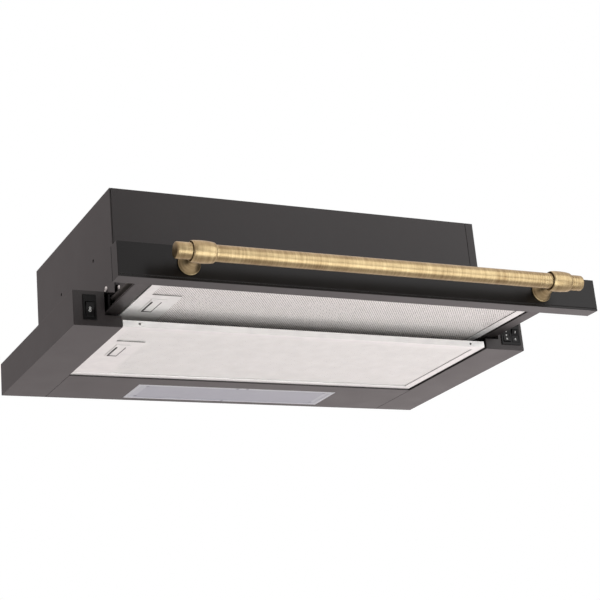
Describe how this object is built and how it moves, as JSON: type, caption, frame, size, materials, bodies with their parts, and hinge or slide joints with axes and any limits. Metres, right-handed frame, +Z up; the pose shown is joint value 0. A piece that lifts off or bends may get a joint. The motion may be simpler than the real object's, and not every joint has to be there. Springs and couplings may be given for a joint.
{
  "type": "telescopic range hood",
  "caption": "Built-in telescopic range hood: a slim lower housing under a box casing, with a pull-out filter drawer, brass bar handle, lamp, rocker switches and a top duct collar.",
  "frame": {"origin": "on the wall plane at mid width, level with the underside of the lower housing: the lower edge of the flat rear face", "axes": "+X to the right as seen from the room, +Y towards the wall, +Z up; the drawer pulls out along -Y"},
  "size_m": [0.6, 0.4922, 0.198],
  "materials": {
    "black_steel": "semi-matt black powder coat",
    "black_zinc_steel": "black passivated zinc",
    "zinc_steel": "zinc-plated sheet and screws",
    "filter_aluminium": "bright satin",
    "antique_brass": "brushed and aged, lacquered",
    "black_plastic": "fine grain",
    "grey_plastic": "moulded",
    "white_plastic": "moulded",
    "red_plastic": "moulded",
    "lens_plastic": "frosted and translucent",
    "black_rubber": "matt"
  },
  "bodies": {
    "hood": {"lower_housing": "black_steel", "lamp_panel": "black_steel", "lamp_lens": "lens_plastic", "lens_clips": "white_plastic", "lamp_reflector": "white_plastic", "led_board": "white_plastic", "led_driver": "black_plastic", "casing_shell": "black_steel", "front_panel": "black_steel", "casing_screws": "zinc_steel", "foot_rivets": "zinc_steel", "runner_outer_left": "black_zinc_steel", "runner_outer_right": "black_zinc_steel", "runner_brackets": "black_zinc_steel", "light_switch": "black_plastic", "fan_switch": "black_plastic", "drawer_switch": "black_plastic", "scroll_left": "grey_plastic", "scroll_right": "grey_plastic", "motor": "zinc_steel", "motor_bracket": "zinc_steel", "grommets": "black_rubber", "capacitor": "white_plastic", "capacitor_clamp": "zinc_steel", "terminal_box": "black_plastic", "terminal_lid": "black_plastic", "cable_gland": "black_plastic", "duct_collar": "black_plastic", "collar_screws": "zinc_steel"},
    "drawer": {"drawer_frame": "black_steel", "drawer_cover": "black_steel", "cover_screws": "zinc_steel", "fascia": "black_steel", "runner_inner_left": "black_zinc_steel", "runner_inner_right": "black_zinc_steel", "drawer_filter_frame": "filter_aluminium", "drawer_filter_mesh": "filter_aluminium", "drawer_latch_spring": "zinc_steel", "handle_bar": "antique_brass", "handle_posts": "antique_brass", "handle_caps": "antique_brass", "handle_screws": "zinc_steel"},
    "cage_left": {"ball_cage_left": "zinc_steel", "balls_left": "zinc_steel"},
    "cage_right": {"ball_cage_right": "zinc_steel", "balls_right": "zinc_steel"},
    "drawer_latch": {"drawer_latch": "filter_aluminium"},
    "fixed_filter": {"fixed_filter_frame": "filter_aluminium", "fixed_filter_mesh": "filter_aluminium", "fixed_latch_spring": "zinc_steel"},
    "fixed_latch": {"fixed_latch": "filter_aluminium"},
    "light_rocker": {"light_rocker": "black_plastic"},
    "speed_rocker": {"speed_rocker": "black_plastic"},
    "power_rocker": {"power_rocker": "black_plastic"},
    "plunger": {"switch_plunger": "red_plastic"},
    "rotor": {"impeller": "white_plastic", "shaft": "zinc_steel"},
    "front_flap": {"front_flap": "grey_plastic"},
    "rear_flap": {"rear_flap": "grey_plastic"}
  },
  "joints": [
    {"name": "drawer_slide", "type": "slide", "parent": "hood", "child": "drawer", "axis": [0, -1, 0], "range_m": [-0.132, 0]},
    {"name": "cage_left_slide", "type": "slide", "parent": "hood", "child": "cage_left", "axis": [0, -1, 0], "range_m": [-0.066, 0]},
    {"name": "cage_right_slide", "type": "slide", "parent": "hood", "child": "cage_right", "axis": [0, -1, 0], "range_m": [-0.066, 0]},
    {"name": "drawer_latch_slide", "type": "slide", "parent": "drawer", "child": "drawer_latch", "axis": [1, 0, 0], "range_m": [0, 0.0055], "stiffness_N_per_m": 150, "springref_m": -0.004, "deforming": ["drawer_latch_spring"]},
    {"name": "fixed_filter_swing", "type": "hinge", "parent": "hood", "child": "fixed_filter", "pos_m": [0.241, -0.1947, 0.004], "axis": [0, -1, 0], "range_deg": [0, 40]},
    {"name": "fixed_latch_slide", "type": "slide", "parent": "fixed_filter", "child": "fixed_latch", "axis": [1, 0, 0], "range_m": [0, 0.0055], "stiffness_N_per_m": 150, "springref_m": -0.004, "deforming": ["fixed_latch_spring"]},
    {"name": "light_rocker_tilt", "type": "hinge", "parent": "hood", "child": "light_rocker", "pos_m": [-0.2785, -0.289, 0.019], "axis": [1, 0, 0], "range_deg": [-16, 0]},
    {"name": "speed_rocker_tilt", "type": "hinge", "parent": "hood", "child": "speed_rocker", "pos_m": [0.2724, -0.289, 0.019], "axis": [1, 0, 0], "range_deg": [-8, 8]},
    {"name": "power_rocker_tilt", "type": "hinge", "parent": "hood", "child": "power_rocker", "pos_m": [0.2856, -0.289, 0.019], "axis": [1, 0, 0], "range_deg": [-16, 0]},
    {"name": "plunger_slide", "type": "slide", "parent": "hood", "child": "plunger", "axis": [0, 1, 0], "range_m": [0, 0.0015], "stiffness_N_per_m": 100, "springref_m": -0.002},
    {"name": "impeller_spin", "type": "hinge", "parent": "hood", "child": "rotor", "pos_m": [0, -0.106, 0.113], "axis": [1, 0, 0], "continuous": true},
    {"name": "front_flap_swing", "type": "hinge", "parent": "hood", "child": "front_flap", "pos_m": [0, -0.1445, 0.176], "axis": [-1, 0, 0], "range_deg": [0, 75]},
    {"name": "rear_flap_swing", "type": "hinge", "parent": "hood", "child": "rear_flap", "pos_m": [0, -0.1375, 0.176], "axis": [1, 0, 0], "range_deg": [0, 75]}
  ],
  "couplings": [
    {"joint": "cage_left_slide", "follows": "drawer_slide", "ratio": 0.5},
    {"joint": "cage_right_slide", "follows": "drawer_slide", "ratio": 0.5}
  ]
}
